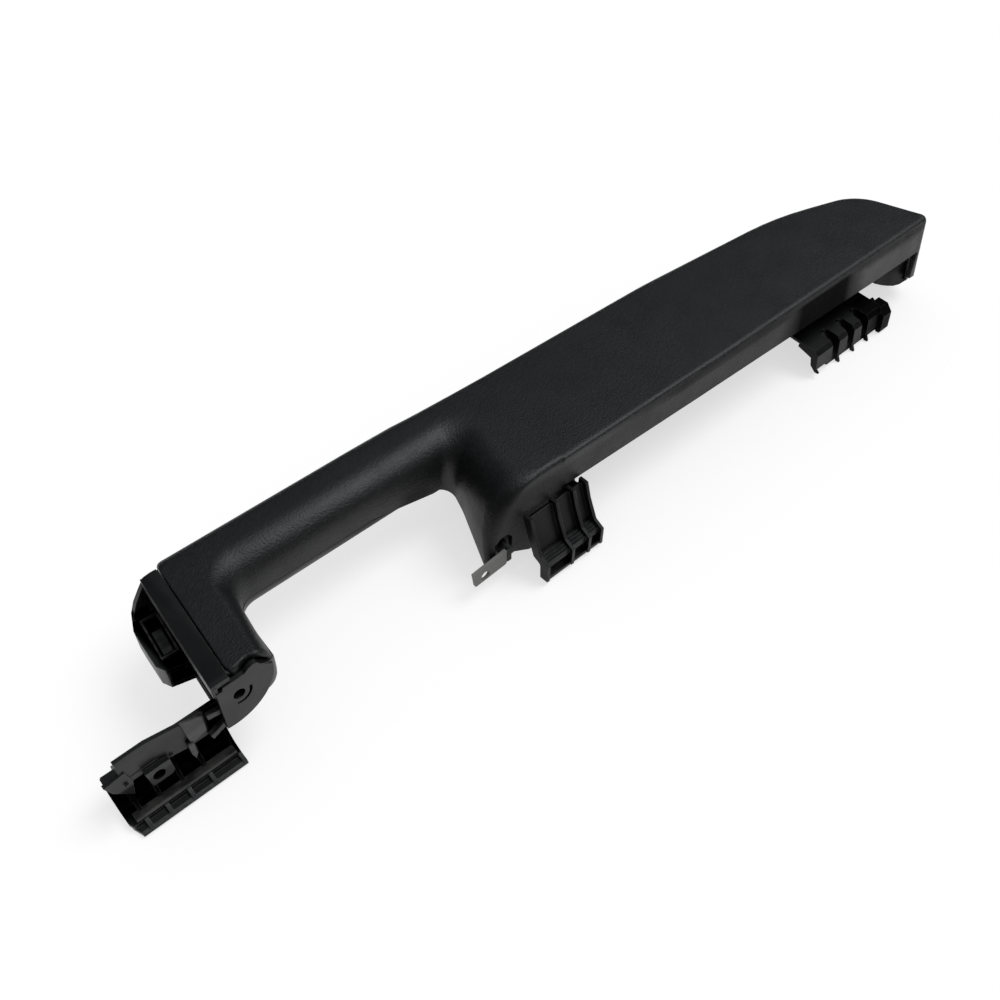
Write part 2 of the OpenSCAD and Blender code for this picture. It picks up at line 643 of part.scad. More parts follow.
module carrier() {
    color(carrier_color)
    difference() {
        union() {
            tub();
            band();
            cheek_plate();
            socket();
            ear();
            arm();
            base();
            tab();
            mid_bracket();
            right_bracket();
        }
        hole_y(cheek_hole, -2, 18, hole_diameter);
        cheek_slot();
        hole_y(arm_hole, 2, 8, hole_diameter);
        hole_y(tab_hole, tab_near - 1, 6, hole_diameter);
        for (p = boss_places)
            translate([p[0], p[1], base_low - 1])
                cylinder(h = base_wall + 2, d = screw_diameter + 0.4, $fn = 32);
    }
}

module screws() {
    color(screw_color)
    for (p = boss_places)
        translate([p[0], p[1], -grip_depth - 2])
            union() {
                cylinder(h = 2, d = head_diameter, $fn = 32);
                cylinder(h = 12, d = screw_diameter, $fn = 24);
            }
}

module in_frame() {
    translate([-cheek_hole_x, -cheek_y, cheek_hole_depth])
        children();
}

in_frame() cover();
in_frame() carrier();
in_frame() screws();
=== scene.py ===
"""Looks of a car door's armrest with its pull handle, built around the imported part.

The cover's grained skin, the carrier below it and the screws are meshes in metres, in the
same frame as the part. Tones are linear values from 0 to 1.

In the finishes a noise is its scale per metre, detail and roughness, and a cut is the two
noise values that become 0 and 1. A zone is a product of ramps, each one rising along an
axis between two places in mm. Outlines and the other sizes of pieces are in mm too.
"""

import math

import bpy
import numpy as np
from mathutils import Matrix, Vector


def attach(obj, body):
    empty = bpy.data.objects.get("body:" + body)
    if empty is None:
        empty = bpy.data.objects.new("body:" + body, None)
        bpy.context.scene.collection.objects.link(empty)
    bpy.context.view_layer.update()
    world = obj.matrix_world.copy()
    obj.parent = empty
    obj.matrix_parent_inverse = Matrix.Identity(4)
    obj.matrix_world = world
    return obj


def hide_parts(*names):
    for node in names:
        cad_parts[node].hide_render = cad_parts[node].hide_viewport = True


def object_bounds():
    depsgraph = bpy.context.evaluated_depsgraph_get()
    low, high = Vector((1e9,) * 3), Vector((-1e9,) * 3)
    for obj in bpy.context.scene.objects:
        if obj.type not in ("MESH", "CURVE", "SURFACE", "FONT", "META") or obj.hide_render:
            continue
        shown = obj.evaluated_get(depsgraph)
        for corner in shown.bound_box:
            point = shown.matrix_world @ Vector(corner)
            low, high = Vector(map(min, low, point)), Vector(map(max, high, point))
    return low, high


MM = 0.001

# All finishes
BLACK = (0.0, 0.0, 0.0)
DUST = (0.16, 0.16, 0.15)
PLASTIC_GLOSS = 0.5
PLASTIC_IOR = 1.5
DARK_IOR = 1.06
SHEEN_CUT = (0.3, 0.7)
BEVEL_SAMPLES = 4
EDGE_COSINE = (0.985, 0.86)
SPECK_CORE = 0.6
SPECK_CHOICE = 0.01

# Grained plastic: the cover
COVER_DARK = (0.0028, 0.0031, 0.0034)
COVER_PALE = (0.0060, 0.0066, 0.0070)
COVER_CLOUDS = (22, 4, 0.6)
COVER_CLOUDS_CUT = (0.35, 0.65)
COVER_FLECKS = (420, 2)
COVER_FLECKS_CUT = (0.4, 0.62)
COVER_DUST = (3.2 * MM, 0.045, 0.12)
COVER_SHEEN = (60, 4, 0.6)
COVER_ROUGH = (0.43, 0.53)
FINE_GRAIN = (1250, 2)
COARSE_GRAIN = (560, 2)
COARSE_SHARE = 0.5
GRAIN_HEIGHT = 0.22
COVER_ROUND = 0.5
COVER_SHADES = (  # each with its depth first
    (1.0, ("X", 318, 344), ("X", 405, 384), ("Z", 11, 8), ("Y", 3, 1.5)),  # right bracket
    (0.65, ("X", 190, 240), ("Y", 2, 0.5), ("Z", 3, 7), ("Z", 11, 9.5)),  # under the crease
    (0.3, ("X", 108, 116), ("X", 400, 330), ("Y", 6, 3), ("Z", 9, 5)),  # front wall
    (0.5, ("X", 106, 112), ("X", 132, 122), ("Z", 2, -8)),  # pillar's flank
)

# Smooth plastic: the carrier, its shelves and the tip's panel
CARRIER_DARK = (0.0022, 0.0023, 0.0024)
CARRIER_PALE = (0.0060, 0.0060, 0.0062)
SCUFFS = (70, 6, 0.65)
SCUFFS_CUT = (0.48, 0.72)
SCUFFS_SQUEEZE = (1.0, 0.3, 0.6)
CARRIER_DUST = (5.0 * MM, 0.03, 0.15)
CARRIER_SHEEN = (45, 5, 0.6)
CARRIER_ROUGH = (0.36, 0.54)
GLOSS_TURN = ("X", 60, 100)
NEAR_GLOSS = 0.52
FAR_GLOSS = 0.2
PALE_EDGE_GLOSS = 0.35
SHADED_GLOSS = 0.12
FLOW_MARKS = (240, 4, 0.6)
FLOW_HEIGHT = 0.07
CARRIER_ROUND = 0.35
# Pale edges, partly abrasion and partly a painted highlight: tone, width, patches and their cut,
# and the share of the painted shade left on them
EDGE_PALE = (0.030, 0.030, 0.030)
EDGE_WIDTH = 0.5
EDGE_PATCHES = (150, 4, 0.6)
EDGE_PATCHES_CUT = (0.35, 0.6)
PALE_EDGE_SHADE = 0.2
# Painted light in the socket's pocket, in patches of the scuffs
POCKET_PAINTED_LIGHT = (0.026, 0.026, 0.025)
POCKET_ZONE = (("Y", 26, 29), ("X", 2, -1), ("Z", 6, 3))
TAB_PALE = (0.19, 0.19, 0.184)
TAB_LOW = (108, -4, -34)
TAB_HIGH = (132, -0.5, -18)
CARRIER_SHADES = (  # each with its depth first
    (1.0, ("X", -15, -13), ("X", -3.5, -4.5), ("Y", 1.5, 2.5), ("Z", -0.5, -2.5)),  # arm's gap
    (0.85, ("X", -4, -6), ("Y", 3, 8), ("Z", -18.5, -20), ("Y", 27, 24)),  # arm's hollow
    (0.6, ("X", 400, 408), ("Y", 4, 3)),  # tip's panel
    (0.2, ("Z", 7, 9), ("X", 2, -1), ("Y", 2, 4)),  # band's top
)

# Plastic painted pale in streaks: painted light on the small pieces at the arm and the socket
LIT_PIECES_DARK = (0.010, 0.010, 0.010)
LIT_PIECES_PALE = (0.050, 0.050, 0.048)
LIT_STREAKS = (180, 5, 0.65)
LIT_STREAKS_CUT = (0.42, 0.62)
LIT_STREAKS_SQUEEZE = (0.4, 1.0, 1.0)
LIT_PIECES_SHEEN = (90, 4, 0.6)
LIT_PIECES_ROUGH = (0.34, 0.5)
LIT_PIECES_MARKS = (260, 4, 0.6)
LIT_PIECES_HEIGHT = 0.06
LIT_PIECES_ROUND = 0.3

# Zinc: the screws
ZINC_DARK = (0.42, 0.43, 0.42)
ZINC_PALE = (0.6, 0.6, 0.57)
ZINC_CLOUDS = (300, 3)
ZINC_SHEEN = (900, 3)
ZINC_ROUGH = (0.25, 0.45)
TURNING_MARKS = (1500, 2, 0.5)
TURNING_SQUEEZE = (1.0, 1.0, 4.0)
TURNING_HEIGHT = 0.02
ZINC_ROUND = 0.2

# Shading: the largest angle that is shaded round, in degrees, how much the large faces
# lead, the digits of a metre to which equal corners agree, and the crease over the middle
# bracket, where no edge is sharp
ROUND_UP_TO = 32
LARGE_FACES_LEAD = 80
MERGE_DIGITS = 6
BROW_LOW = (155.0, -6.0, -2.0)
BROW_HIGH = (186.0, 4.0, 13.0)

# Middle bracket's shelves: bays along X, then (y, z) and thickness at their back and front
SHELF_BAYS = ((144.5, 158.3), (160.1, 169.1), (170.9, 177.3))
SHELF_BACK = (-9.8, -26.5)
SHELF_FRONT = (-15.5, -29.0)
SHELF_THICK = (0.6, 0.4)
SHELF_STEPS = 4
SHELF_EDGE = 0.12

# Tip: the recessed panel and the strip at its end, as (x, z), with near and far Y
TIP_PANEL = (
    (411.5, -7.1), (425.0, -16.2), (433.5, -21.0), (442.1, -25.4), (450.5, -29.3),
    (458.4, -31.8), (465.4, -32.3), (467.6, -30.6), (465.6, -18.8), (464.6, -5.0),
    (450.5, -4.5), (428.9, -4.2),
)
TIP_PANEL_Y = (0.4, 1.6)
TIP_STRIP = (
    (454.9, -4.5), (456.4, -10.0), (458.6, -18.0), (462.4, -30.2), (465.5, -29.4),
    (467.4, -26.4), (468.2, -20.1), (467.4, -9.0),
)
TIP_STRIP_Y = (-1.2, 0.3)

# Socket: its slot's corners as (x, y), its floor's level, the frame's section as (how far
# out, how high) and the tongue in the slot
SLOT_CORNERS = ((-12.0, 35.9), (-6.6, 35.6), (-4.0, 55.6), (-9.4, 55.9))
SLOT_LEVEL = -3.0
FRAME_SECTION = ((0.2, -0.3), (1.2, -0.3), (1.0, 0.7), (0.4, 0.7))
TONGUE = ((-11.3, 36.4), (-7.3, 36.1), (-5.7, 48.6), (-9.7, 48.9))
TONGUE_Z = (-3.1, -2.75)
TONGUE_EDGE = 0.1

# Right bracket's web under the fingers' slots as (x, y), and the arm's ledge as (y, z)
FINGER_WEB = ((368.5, -4.0), (424.0, -4.0), (424.0, 9.0), (368.5, 9.0))
FINGER_WEB_Z = (-28.3, -27.2)
ARM_LEDGE = ((2.2, -34.3), (5.8, -34.4), (6.2, -35.6), (1.8, -35.6))
ARM_LEDGE_X = (-50.5, -7.5)

# Webs between the arm's plate and the cheek: name, (x, z) outline, near and far Y
ARM_WEBS = (
    ("arm_panel", ((-23.0, -0.5), (-14.5, -3.3), (-14.6, -12.8), (-21.6, -15.4)), 3.4, 4.9),
    ("arm_hook", ((-23.2, -13.5), (-20.7, -14.2), (-20.7, -21.4), (-22.1, -24.2),
                  (-23.0, -20.2)), 2.8, 4.9),
    ("arm_bar", ((-13.3, -4.2), (-0.2, -6.7), (0.1, -9.4), (-13.2, -7.1)), 2.6, 4.9),
    ("arm_strut", ((-14.4, -16.5), (-6.7, -13.1), (-6.0, -15.6), (-13.7, -19.3)), 2.4, 4.9),
)
PLATE_EDGE = 0.25

# Camera
CAMERA_PLACE = (-67.30 * MM, -214.54 * MM, 313.74 * MM)
CAMERA_RIGHT = (0.7362, -0.6768, 0.0)
CAMERA_UP = (0.4874, 0.5302, 0.6938)
CAMERA_BACK = (-0.4695, -0.5108, 0.7202)
LENS = 36.0
SENSOR = 36.0
NEAREST_SEEN = 0.01

# Floor, room and key light, in metres
FLOOR_HALF = 6.0
FLOOR_DROP = 0.2 * MM
FLOOR_TONE = 0.45
FLOOR_LIFT = 0.64
ROOM_LIGHT = 0.5
KEY_LIGHT = 1.25
KEY_FROM = (0.46, -0.20, 0.865)
KEY_SPREAD = math.radians(34)

# Tent: radius, mesh, tint, levels low and high up, where in height it brightens, the
# window round the key light, shares by the place along X, and the darker side towards the
# camera: its direction, depth, how soon it sets in, and its height's end and fade
TENT_REACH = 4.0
TENT_SIDES = 96
TENT_ROWS = 24
TENT_CROWN = 0.02
TENT_TINT = (0.92, 1.0, 1.06)
TENT_LOW = 0.04
TENT_HIGH = 0.27
TENT_RISE = (0.38, 0.30)
TENT_WINDOW = 1.7
TENT_WINDOW_RISE = (0.90, 0.085)
TENT_TURN = (0.0, 0.45, 0.62, 0.8)
TENT_SHARE = (0.55, 0.8, 0.66, 0.45)
CAMERA_SIDE = (-0.68, -0.73)
CAMERA_SIDE_DEPTH = 0.75
CAMERA_SIDE_GAIN = 1.6
CAMERA_SIDE_TOP = 0.97
CAMERA_SIDE_FADE = 0.3


def new_object(name, places, faces):
    """Mesh object from a whole array of places, in metres, and a list of faces."""
    mesh = bpy.data.meshes.new(name)
    mesh.from_pydata(places.tolist(), [], faces)
    made = bpy.data.objects.new(name, mesh)
    bpy.context.scene.collection.objects.link(made)
    return made


def new_piece(name, places, faces):
    """Mesh object that rides on the part's one body."""
    piece = new_object(name, places, faces)
    piece.data.validate()
    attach(piece, "root")
    return piece


def shade_round(piece):
    """Round shading up to one angle, led by the large faces."""
    mesh = piece.data
    mesh.polygons.foreach_set("use_smooth", np.ones(len(mesh.polygons), bool))
    mesh.set_sharp_from_angle(angle=math.radians(ROUND_UP_TO))
    weighted = piece.modifiers.new("large faces lead", "WEIGHTED_NORMAL")
    weighted.keep_sharp = True
    weighted.weight = LARGE_FACES_LEAD


def merged_copy(node, name):
    """The node's triangles with equal corners made one, shaded round."""
    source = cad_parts[node].data
    places = np.empty(len(source.vertices) * 3, np.float32)
    source.vertices.foreach_get("co", places)
    corners = np.empty(len(source.loops), np.int32)
    source.loops.foreach_get("vertex_index", corners)
    places, index = np.unique(
        np.round(places.reshape(-1, 3).astype(float), MERGE_DIGITS),
        axis=0,
        return_inverse=True,
    )
    faces = index.reshape(-1)[corners].reshape(-1, 3)
    apart = np.all(faces != np.roll(faces, -1, axis=1), axis=1)
    piece = new_piece(name, places, faces[apart].tolist())
    shade_round(piece)
    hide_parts(node)
    return piece


def even_shading(piece, low, high):
    """No sharp edges inside a box where one smooth skin has narrow faces."""
    mesh = piece.data
    places = np.empty(len(mesh.vertices) * 3, np.float32)
    mesh.vertices.foreach_get("co", places)
    places = places.reshape(-1, 3) / MM
    inside = np.all((places > low) & (places < high), axis=1)
    ends = np.empty(len(mesh.edges) * 2, np.int32)
    mesh.edges.foreach_get("vertices", ends)
    smooth = inside[ends.reshape(-1, 2)].all(axis=1)
    sharp = mesh.attributes["sharp_edge"]
    flags = np.empty(len(mesh.edges), bool)
    sharp.data.foreach_get("value", flags)
    sharp.data.foreach_set("value", flags & ~smooth)


def worn_edges(piece, width):
    """A small round on the piece's edges."""
    rounded = piece.modifiers.new("small round", "BEVEL")
    rounded.width = width * MM
    rounded.segments = 2
    rounded.limit_method = "ANGLE"


def swept_profile(name, profile, spans):
    """Closed bars: a loop of (y, z) is swept along X over each span.

    The side surface is a function of the place along the loop and the place along X.
    """
    loop = np.array(profile, float)
    size = len(loop)
    here = np.arange(size)
    beside = (here + 1) % size
    places, faces = [], []
    for number, span in enumerate(spans):
        places += [np.column_stack([np.full(size, x), loop]) for x in span]
        first = 2 * size * number
        sides = np.stack([here, here + size, beside + size, beside], -1) + first
        faces += sides.tolist()
        faces += [(here + first).tolist(), (here[::-1] + size + first).tolist()]
    return new_piece(name, np.vstack(places) * MM, faces)


def flat_plate(name, outline, axis, near, far, edge=PLATE_EDGE):
    """Closed plate: an outline drawn square to one axis, thickened from near to far.

    Outline points are (x, z) for a plate square to Y and (x, y) for one square to Z.
    """
    loop = np.array(outline, float)
    order = [0, 2, 1] if axis == "Y" else [0, 1, 2]
    size = len(loop)
    low = np.column_stack([loop, np.full(size, near)])[:, order]
    high = np.column_stack([loop, np.full(size, far)])[:, order]
    here = np.arange(size)
    beside = (here + 1) % size
    sides = np.stack([here, beside, beside + size, here + size], -1)
    faces = sides.tolist() + [here[::-1].tolist(), (here + size).tolist()]
    following = np.roll(loop, -1, axis=0)
    area = loop[:, 0] @ following[:, 1] - loop[:, 1] @ following[:, 0]
    if (area > 0) == (axis == "Y"):
        faces = [face[::-1] for face in faces]
    piece = new_piece(name, np.vstack([low, high]) * MM, faces)
    worn_edges(piece, edge)
    return piece


def slot_frame():
    """Raised frame round the socket's slot: four mitred bars of one section.

    Each corner is the slot's corner moved out from the slot's middle, once for each of
    the section's four corners.
    """
    corners = np.array(SLOT_CORNERS, float)
    outwards = np.sign(corners - corners.mean(axis=0))
    places = np.vstack([
        np.column_stack([corners + outwards * out, np.full(len(corners), SLOT_LEVEL + level)])
        for out, level in FRAME_SECTION
    ])
    ring, corner = np.meshgrid(np.arange(4), np.arange(4), indexing="ij")
    up, beside = (ring + 1) % 4, (corner + 1) % 4
    faces = np.stack(
        [ring * 4 + corner, ring * 4 + beside, up * 4 + beside, up * 4 + corner], -1
    )
    return new_piece("slot_frame", places * MM, faces.reshape(-1, 4).tolist())


def stepped_shelves():
    """The middle bracket's shelves: a flight of low steps between each two ribs."""
    treads = np.linspace(SHELF_BACK[0], SHELF_FRONT[0], SHELF_STEPS + 1)
    levels = np.linspace(SHELF_BACK[1], SHELF_FRONT[1], SHELF_STEPS + 1)
    top = np.stack([np.repeat(treads, 2)[1:-1], np.repeat(levels[:-1], 2)], -1)
    under = [
        (SHELF_FRONT[0], SHELF_FRONT[1] - SHELF_THICK[1]),
        (SHELF_BACK[0], SHELF_BACK[1] - SHELF_THICK[0]),
    ]
    piece = swept_profile("shelf_steps", np.vstack([top, under])[::-1], SHELF_BAYS)
    worn_edges(piece, SHELF_EDGE)
    return piece


class Finish:
    """A material's node tree, with one short call for each kind of node."""

    def __init__(self, name):
        self.material = bpy.data.materials.new(name)
        self.material.use_nodes = True
        self.tree = self.material.node_tree
        self.shader = self.tree.nodes["Principled BSDF"]
        self.place = self.tree.nodes.new("ShaderNodeTexCoord").outputs["Object"]

    def feed(self, socket, value):
        """Links another node's output to the socket, or writes a plain value into it."""
        if isinstance(value, bpy.types.NodeSocket):
            self.tree.links.new(value, socket)
        elif socket.type == "RGBA":
            socket.default_value = (*value, 1.0)
        else:
            socket.default_value = value

    def node(self, kind, **inputs):
        made = self.tree.nodes.new(kind)
        for key, value in inputs.items():
            self.feed(made.inputs[key], value)
        return made

    def shine(self, key, value):
        """Gives one of the shader's own inputs its value."""
        self.feed(self.shader.inputs[key], value)

    def maths(self, operation, first, second):
        made = self.tree.nodes.new("ShaderNodeMath")
        made.operation = operation
        self.feed(made.inputs[0], first)
        self.feed(made.inputs[1], second)
        return made.outputs[0]

    def blend(self, share, first, second):
        made = self.tree.nodes.new("ShaderNodeMix")
        made.data_type = "RGBA"
        for socket, value in zip((0, 6, 7), (share, first, second)):
            self.feed(made.inputs[socket], value)
        return made.outputs[2]

    def ramp(self, value, low, high, to_low=0.0, to_high=1.0):
        made = self.node("ShaderNodeMapRange", Value=value)
        for socket, number in zip((1, 2, 3, 4), (low, high, to_low, to_high)):
            made.inputs[socket].default_value = number
        return made.outputs["Result"]

    def fade(self, share, at_none, at_full):
        """One value where the share is 0 and another where it is 1."""
        return self.ramp(share, 0, 1, at_none, at_full)

    def squeezed(self, scale):
        return self.node("ShaderNodeMapping", Vector=self.place, Scale=scale).outputs["Vector"]

    def noise(self, scale, detail=2.0, roughness=0.5, place=None):
        made = self.node(
            "ShaderNodeTexNoise",
            Vector=place or self.place,
            Scale=scale,
            Detail=detail,
            Roughness=roughness,
        )
        return made.outputs["Fac"]

    def sheen(self, noise, rough):
        """Roughness that wanders between two values."""
        self.shine("Roughness", self.ramp(self.noise(*noise), *SHEEN_CUT, *rough))

    def specks(self, pitch, size, share):
        """Small dots: cells of one pitch, of which a share holds a dot."""
        cells = self.node("ShaderNodeTexVoronoi", Vector=self.place, Scale=1 / pitch)
        near = self.ramp(cells.outputs["Distance"], size, size * SPECK_CORE)
        chosen = self.node("ShaderNodeSeparateColor", Color=cells.outputs["Color"])
        kept = self.ramp(chosen.outputs[0], 1 - share, 1 - share + SPECK_CHOICE)
        return self.maths("MULTIPLY", near, kept)

    def along(self, axis, low, high, to_low=0.0, to_high=1.0):
        """A ramp between two places on one axis."""
        axes = self.node("ShaderNodeSeparateXYZ", Vector=self.place).outputs
        return self.ramp(axes["XYZ".index(axis)], low * MM, high * MM, to_low, to_high)

    def zone(self, *ramps):
        """1 inside a soft zone: the product of its ramps along the axes."""
        share = self.along(*ramps[0])
        for ramp in ramps[1:]:
            share = self.maths("MULTIPLY", share, self.along(*ramp))
        return share

    def shade(self, zones):
        """The deepest of several zones, where each is its depth times its soft zone."""
        deepest = 0.0
        for depth, *ramps in zones:
            deepest = self.maths(
                "MAXIMUM", deepest, self.maths("MULTIPLY", self.zone(*ramps), depth)
            )
        return deepest

    def inside(self, low, high):
        """1 inside a box with hard sides."""
        axes = self.node("ShaderNodeSeparateXYZ", Vector=self.place).outputs
        share = 1.0
        for axis, start, end in zip(axes, low, high):
            above = self.maths("GREATER_THAN", axis, start * MM)
            below = self.maths("LESS_THAN", axis, end * MM)
            share = self.maths("MULTIPLY", share, self.maths("MULTIPLY", above, below))
        return share

    def edges(self, width):
        """1 on the edges, where a rounded normal leaves the face's own."""
        rounded = self.node("ShaderNodeBevel", Radius=width * MM)
        rounded.samples = BEVEL_SAMPLES
        own = self.tree.nodes.new("ShaderNodeNewGeometry").outputs["True Normal"]
        both = self.tree.nodes.new("ShaderNodeVectorMath")
        both.operation = "DOT_PRODUCT"
        self.feed(both.inputs[0], rounded.outputs["Normal"])
        self.feed(both.inputs[1], own)
        return self.ramp(both.outputs["Value"], *EDGE_COSINE)

    def bump(self, pattern, height, rounding):
        """A relief of one height, on edges that look rounded."""
        edge = self.node("ShaderNodeBevel", Radius=rounding * MM)
        edge.samples = BEVEL_SAMPLES
        made = self.node(
            "ShaderNodeBump",
            Height=pattern,
            Normal=edge.outputs["Normal"],
            Strength=1.0,
            Distance=height * MM,
        )
        self.shine("Normal", made.outputs["Normal"])


def grained_plastic():
    """Black moulded plastic with a leather-like grain of about 1 mm and a little dust.

    A dark zone stands for deep shade: it is black, and bends light too little to shine.
    """
    f = Finish("grained black plastic")
    clouds = f.ramp(f.noise(*COVER_CLOUDS), *COVER_CLOUDS_CUT)
    flecks = f.ramp(f.noise(*COVER_FLECKS), *COVER_FLECKS_CUT)
    colour = f.blend(f.maths("MULTIPLY", clouds, flecks), COVER_DARK, COVER_PALE)
    colour = f.blend(f.specks(*COVER_DUST), colour, DUST)
    shade = f.shade(COVER_SHADES)
    f.shine("Base Color", f.blend(shade, colour, BLACK))
    f.sheen(COVER_SHEEN, COVER_ROUGH)
    f.shine("Specular IOR Level", PLASTIC_GLOSS)
    f.shine("IOR", f.fade(shade, PLASTIC_IOR, DARK_IOR))
    coarse = f.maths("MULTIPLY", f.noise(*COARSE_GRAIN), COARSE_SHARE)
    f.bump(f.maths("ADD", f.noise(*FINE_GRAIN), coarse), GRAIN_HEIGHT, COVER_ROUND)
    return f.material


def smooth_plastic():
    """Black plastic straight from a plain mould, with scuffs, flow marks and pale edges that are
    partly abrasion and partly a painted highlight.

    The pocket is painted paler in the scuffs' pattern, as painted light; the screw tab is pale,
    and deep places get painted shade.
    """
    f = Finish("smooth black plastic")
    scuffs = f.ramp(f.noise(*SCUFFS, f.squeezed(SCUFFS_SQUEEZE)), *SCUFFS_CUT)
    colour = f.blend(scuffs, CARRIER_DARK, CARRIER_PALE)
    colour = f.blend(f.specks(*CARRIER_DUST), colour, DUST)
    # painted light in the pocket, broken up by the scuffs
    pocket = f.maths("MULTIPLY", f.zone(*POCKET_ZONE), scuffs)
    colour = f.blend(pocket, colour, POCKET_PAINTED_LIGHT)
    # pale edges: partly abrasion, partly a painted highlight
    edge_patches = f.ramp(f.noise(*EDGE_PATCHES), *EDGE_PATCHES_CUT)
    pale_edges = f.maths("MULTIPLY", f.edges(EDGE_WIDTH), edge_patches)
    left = f.fade(pale_edges, 1.0, PALE_EDGE_SHADE)
    shade = f.maths("MULTIPLY", f.shade(CARRIER_SHADES), left)
    colour = f.blend(pale_edges, f.blend(shade, colour, BLACK), EDGE_PALE)
    f.shine("Base Color", f.blend(f.inside(TAB_LOW, TAB_HIGH), colour, TAB_PALE))
    f.sheen(CARRIER_SHEEN, CARRIER_ROUGH)
    gloss = f.along(*GLOSS_TURN, NEAR_GLOSS, FAR_GLOSS)
    gloss = f.maths("ADD", gloss, f.maths("MULTIPLY", pale_edges, PALE_EDGE_GLOSS))
    gloss = f.maths("MULTIPLY", gloss, f.fade(shade, 1.0, SHADED_GLOSS))
    f.shine("Specular IOR Level", gloss)
    f.shine("IOR", f.fade(shade, PLASTIC_IOR, DARK_IOR))
    f.bump(f.noise(*FLOW_MARKS), FLOW_HEIGHT, CARRIER_ROUND)
    return f.material


def pale_pieces_plastic():
    """Black plastic painted pale in streaks: painted light for small pieces that catch the
    light.
    """
    f = Finish("black plastic painted pale as lit")
    lit_streaks = f.ramp(f.noise(*LIT_STREAKS, f.squeezed(LIT_STREAKS_SQUEEZE)), *LIT_STREAKS_CUT)
    # painted light: the streaks lift the pieces' tone
    f.shine("Base Color", f.blend(lit_streaks, LIT_PIECES_DARK, LIT_PIECES_PALE))
    f.sheen(LIT_PIECES_SHEEN, LIT_PIECES_ROUGH)
    f.bump(f.noise(*LIT_PIECES_MARKS), LIT_PIECES_HEIGHT, LIT_PIECES_ROUND)
    return f.material


def zinc_plate():
    """Pale zinc on the screws, with fine turning marks."""
    f = Finish("zinc plated steel")
    f.shine("Base Color", f.blend(f.noise(*ZINC_CLOUDS), ZINC_DARK, ZINC_PALE))
    f.sheen(ZINC_SHEEN, ZINC_ROUGH)
    f.shine("Metallic", 1.0)
    marks = f.noise(*TURNING_MARKS, f.squeezed(TURNING_SQUEEZE))
    f.bump(marks, TURNING_HEIGHT, ZINC_ROUND)
    return f.material


def dress(piece, finish):
    """Gives the piece its one material."""
    piece.data.materials.clear()
    piece.data.materials.append(finish)


def background_share(tree):
    """1 for the rays that see the background: camera, glossy and transmission rays."""
    rays = tree.nodes.new("ShaderNodeLightPath")
    share = rays.outputs["Is Camera Ray"]
    for name in ("Is Glossy Ray", "Is Transmission Ray"):
        most = tree.nodes.new("ShaderNodeMath")
        most.operation = "MAXIMUM"
        tree.links.new(share, most.inputs[0])
        tree.links.new(rays.outputs[name], most.inputs[1])
        share = most.outputs[0]
    return share


def bare_material(name):
    """A material whose tree holds only its output, whose surface input comes with it."""
    material = bpy.data.materials.new(name)
    material.use_nodes = True
    tree = material.node_tree
    tree.nodes.remove(tree.nodes["Principled BSDF"])
    return material, tree, tree.nodes["Material Output"].inputs["Surface"]


def pale_floor(level):
    """A wide pale floor that keeps the shadow and is lifted a little towards white."""
    corners = np.array([[-1, -1, 0], [1, -1, 0], [1, 1, 0], [-1, 1, 0]])
    floor = new_object("floor", corners * FLOOR_HALF + [0, 0, level], [[0, 1, 2, 3]])
    material, tree, surface = bare_material("pale floor")
    paint = tree.nodes.new("ShaderNodeBsdfDiffuse")
    paint.inputs["Color"].default_value = (FLOOR_TONE, FLOOR_TONE, FLOOR_TONE, 1)
    lift = tree.nodes.new("ShaderNodeEmission")
    strength = tree.nodes.new("ShaderNodeMath")
    strength.operation = "MULTIPLY"
    strength.inputs[1].default_value = FLOOR_LIFT
    tree.links.new(background_share(tree), strength.inputs[0])
    tree.links.new(strength.outputs[0], lift.inputs["Strength"])
    both = tree.nodes.new("ShaderNodeAddShader")
    tree.links.new(paint.outputs[0], both.inputs[0])
    tree.links.new(lift.outputs[0], both.inputs[1])
    tree.links.new(both.outputs[0], surface)
    floor.data.materials.append(material)


def eased(value, start, length):
    """0 up to the start, 1 past the length, and an even S-curve between."""
    share = np.clip((value - start) / length, 0, 1)
    return share * share * (3 - 2 * share)


def tent_levels(towards):
    """Brightness by direction: it grows with the height and is dark towards the camera.

    A bright window with a soft rim stands round the key light's direction.
    """
    side = towards[:, :2] @ np.array(CAMERA_SIDE)
    height = towards[:, 2]
    level = TENT_LOW + (TENT_HIGH - TENT_LOW) * eased(height, *TENT_RISE)
    level *= np.interp(towards[:, 0], TENT_TURN, TENT_SHARE)
    facing = np.clip(side * CAMERA_SIDE_GAIN, 0, 1)
    facing *= np.clip((CAMERA_SIDE_TOP - height) / CAMERA_SIDE_FADE, 0, 1)
    level *= 1 - CAMERA_SIDE_DEPTH * facing
    return level + TENT_WINDOW * eased(towards @ np.array(KEY_FROM), *TENT_WINDOW_RISE)


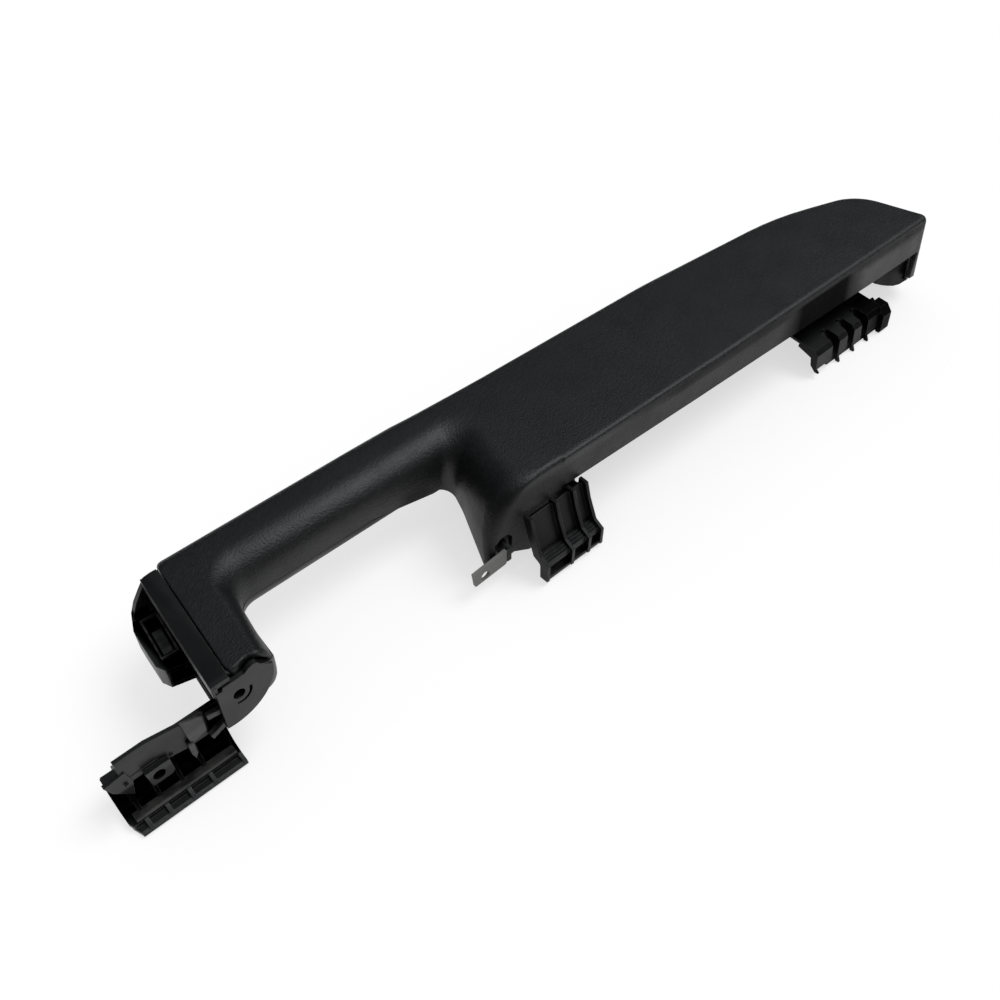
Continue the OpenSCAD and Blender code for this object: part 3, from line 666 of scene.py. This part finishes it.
def reflection_tent():
    """A grey tent that only reflections see.

    A half sphere as a function of turn and height, closed at the crown.
    """
    turns, heights = np.meshgrid(
        np.linspace(0, 2 * np.pi, TENT_SIDES, endpoint=False),
        np.linspace(0, np.pi / 2 - TENT_CROWN, TENT_ROWS),
    )
    towards = np.stack(
        [np.cos(turns) * np.cos(heights), np.sin(turns) * np.cos(heights), np.sin(heights)], -1
    ).reshape(-1, 3)
    row, column = np.meshgrid(np.arange(TENT_ROWS - 1), np.arange(TENT_SIDES), indexing="ij")
    start, beside = row * TENT_SIDES + column, row * TENT_SIDES + (column + 1) % TENT_SIDES
    faces = np.stack([start, start + TENT_SIDES, beside + TENT_SIDES, beside], -1).reshape(-1, 4)
    crown = np.arange(TENT_SIDES) + (TENT_ROWS - 1) * TENT_SIDES
    tent = new_object("tent", TENT_REACH * towards, faces.tolist() + [crown[::-1].tolist()])
    shine = tent.data.attributes.new("level", "FLOAT", "POINT")
    shine.data.foreach_set("value", tent_levels(towards))
    material, tree, surface = bare_material("grey tent")
    material.cycles.emission_sampling = "NONE"
    glow = tree.nodes.new("ShaderNodeEmission")
    glow.inputs["Color"].default_value = (*TENT_TINT, 1)
    levels = tree.nodes.new("ShaderNodeAttribute")
    levels.attribute_name = "level"
    tree.links.new(levels.outputs["Fac"], glow.inputs["Strength"])
    tree.links.new(glow.outputs[0], surface)
    tent.data.materials.append(material)
    tent.visible_camera = False
    tent.visible_diffuse = False
    tent.visible_shadow = False
    tent.visible_transmission = False


def studio():
    """Even room light, white where it is seen, and one broad soft key light."""
    world = bpy.data.worlds.new("studio")
    bpy.context.scene.world = world
    world.use_nodes = True
    tree = world.node_tree
    sky = tree.nodes["Background"]
    sky.inputs["Color"].default_value = (1, 1, 1, 1)
    strength = tree.nodes.new("ShaderNodeMapRange")
    tree.links.new(background_share(tree), strength.inputs[0])
    strength.inputs["To Min"].default_value = ROOM_LIGHT
    tree.links.new(strength.outputs[0], sky.inputs["Strength"])
    key = bpy.data.lights.new("key", "SUN")
    key.energy = KEY_LIGHT
    key.angle = KEY_SPREAD
    lamp = bpy.data.objects.new("key", key)
    lamp.rotation_euler = Vector(KEY_FROM).to_track_quat("Z", "Y").to_euler()
    bpy.context.scene.collection.objects.link(lamp)


def camera():
    """The photograph's view: a 36 mm lens on a 36 mm wide sensor."""
    data = bpy.data.cameras.new("camera")
    data.lens = LENS
    data.sensor_width = SENSOR
    data.clip_start = NEAREST_SEEN
    seen = bpy.data.objects.new("camera", data)
    axes = np.eye(4)
    axes[:3, 0], axes[:3, 1], axes[:3, 2] = CAMERA_RIGHT, CAMERA_UP, CAMERA_BACK
    axes[:3, 3] = CAMERA_PLACE
    seen.matrix_world = Matrix(axes.tolist())
    bpy.context.scene.collection.objects.link(seen)
    bpy.context.scene.camera = seen


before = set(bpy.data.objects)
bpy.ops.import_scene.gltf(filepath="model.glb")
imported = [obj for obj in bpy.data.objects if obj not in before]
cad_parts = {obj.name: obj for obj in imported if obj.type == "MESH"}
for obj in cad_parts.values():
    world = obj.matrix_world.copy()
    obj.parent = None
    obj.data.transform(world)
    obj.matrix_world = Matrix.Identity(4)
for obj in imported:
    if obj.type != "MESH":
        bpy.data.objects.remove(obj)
cad_low, cad_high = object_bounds()

cover = merged_copy("cover", "cover_skin")
carrier = merged_copy("carrier", "carrier_body")
screws = merged_copy("screws", "screw_set")
even_shading(cover, BROW_LOW, BROW_HIGH)
skin = grained_plastic()
plain = smooth_plastic()
pale_pieces = pale_pieces_plastic()
dress(cover, skin)
dress(carrier, plain)
dress(screws, zinc_plate())
dress(stepped_shelves(), plain)
dress(flat_plate("tip_panel", TIP_PANEL, "Y", *TIP_PANEL_Y), plain)
dress(flat_plate("tip_strip", TIP_STRIP, "Y", *TIP_STRIP_Y), skin)
dress(flat_plate("finger_web", FINGER_WEB, "Z", *FINGER_WEB_Z), plain)
dress(slot_frame(), pale_pieces)
dress(flat_plate("slot_tongue", TONGUE, "Z", *TONGUE_Z, TONGUE_EDGE), pale_pieces)
dress(swept_profile("arm_ledge", ARM_LEDGE, [ARM_LEDGE_X]), pale_pieces)
for name, outline, near, far in ARM_WEBS:
    dress(flat_plate(name, outline, "Y", near, far), pale_pieces)

pale_floor(cad_low.z - FLOOR_DROP)
reflection_tent()
studio()
camera()
bpy.context.scene.view_settings.view_transform = "Standard"
